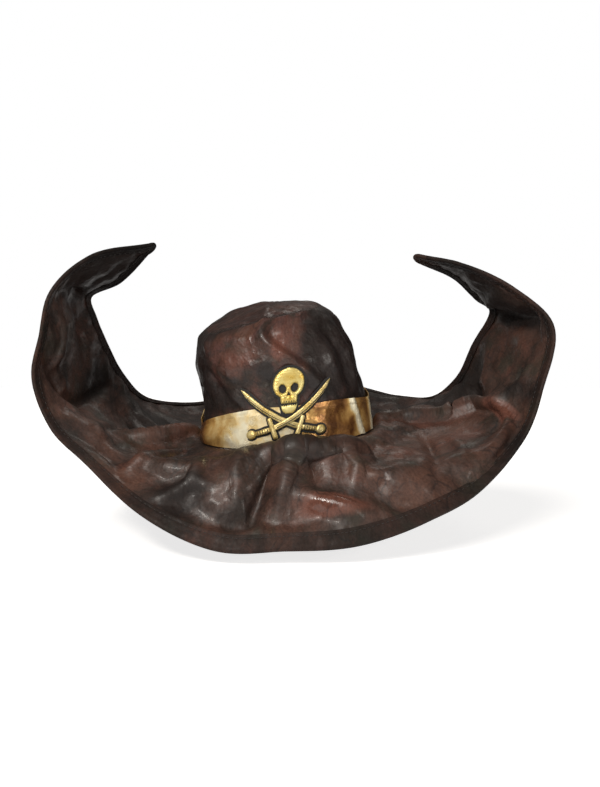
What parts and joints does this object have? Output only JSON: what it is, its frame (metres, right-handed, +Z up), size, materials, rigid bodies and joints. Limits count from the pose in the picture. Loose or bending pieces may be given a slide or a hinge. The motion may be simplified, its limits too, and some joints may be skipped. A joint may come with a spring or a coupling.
{
  "type": "pirate hat",
  "caption": "Soft distressed-leather costume pirate hat with a tall slumped crown, gold band, skull emblem and a wired brim bent up into two horns.",
  "frame": {"origin": "middle of the head opening, at the seam of the crown and the brim", "axes": "+X to the right seen from the front, +Y to the back of the hat, +Z up through the crown"},
  "size_m": [0.5685, 0.4488, 0.3012],
  "materials": {
    "brim_leather": "glossy distressed dark brown faux leather",
    "under_leather": "glossy distressed dark brown faux leather",
    "crown_leather": "glossy distressed dark brown faux leather",
    "hem_leather": "glossy, folded and stitched",
    "band_gold": "gold foil cloth",
    "emblem_gold": "gold foil applique",
    "felt": "matt black felt",
    "lining": "thin black woven cloth",
    "sweatband": "black woven tape",
    "wire": "plain drawn wire"
  },
  "bodies": {
    "hat": {"crown_side": "crown_leather", "crown_tip": "crown_leather", "crown_lining_side": "lining", "crown_lining_tip": "lining", "sweatband": "sweatband", "hat_band": "band_gold", "emblem_backing": "felt", "emblem_skull": "emblem_gold", "emblem_jaw": "emblem_gold", "emblem_cutlass_left": "emblem_gold", "emblem_cutlass_right": "emblem_gold", "brim_upper": "brim_leather", "brim_under": "under_leather", "brim_casing_front": "hem_leather", "brim_casing_back": "hem_leather", "brim_wire_front": "wire", "brim_wire_back": "wire", "wire_sleeve": "wire"},
    "left_arm": {"left_arm_upper": "brim_leather", "left_arm_under": "under_leather", "left_arm_casing_front": "hem_leather", "left_arm_casing_back": "hem_leather", "left_arm_wire_front": "wire", "left_arm_wire_back": "wire"},
    "left_tip": {"left_tip_upper": "brim_leather", "left_tip_under": "under_leather", "left_tip_casing": "hem_leather", "left_tip_wire": "wire"},
    "right_arm": {"right_arm_upper": "brim_leather", "right_arm_under": "under_leather", "right_arm_casing_front": "hem_leather", "right_arm_casing_back": "hem_leather", "right_arm_wire_front": "wire", "right_arm_wire_back": "wire"},
    "right_tip": {"right_tip_upper": "brim_leather", "right_tip_under": "under_leather", "right_tip_casing": "hem_leather", "right_tip_wire": "wire"}
  },
  "joints": [
    {"name": "left_arm_bend", "type": "hinge", "parent": "hat", "child": "left_arm", "pos_m": [-0.242, 0.03, 0.076], "axis": [0.3801, 0.9214, 0.0806], "range_deg": [-60, 15]},
    {"name": "left_tip_fold", "type": "hinge", "parent": "left_arm", "child": "left_tip", "pos_m": [-0.2435, 0.02, 0.152], "axis": [0.3205, 0.9425, -0.0943], "range_deg": [-45, 32]},
    {"name": "right_arm_bend", "type": "hinge", "parent": "hat", "child": "right_arm", "pos_m": [0.2465, 0.028, 0.073], "axis": [0.3585, -0.9167, -0.1763], "range_deg": [-60, 15]},
    {"name": "right_tip_fold", "type": "hinge", "parent": "right_arm", "child": "right_tip", "pos_m": [0.262, 0.018, 0.13], "axis": [0.4537, -0.8908, -0.0247], "range_deg": [-45, 35]}
  ]
}
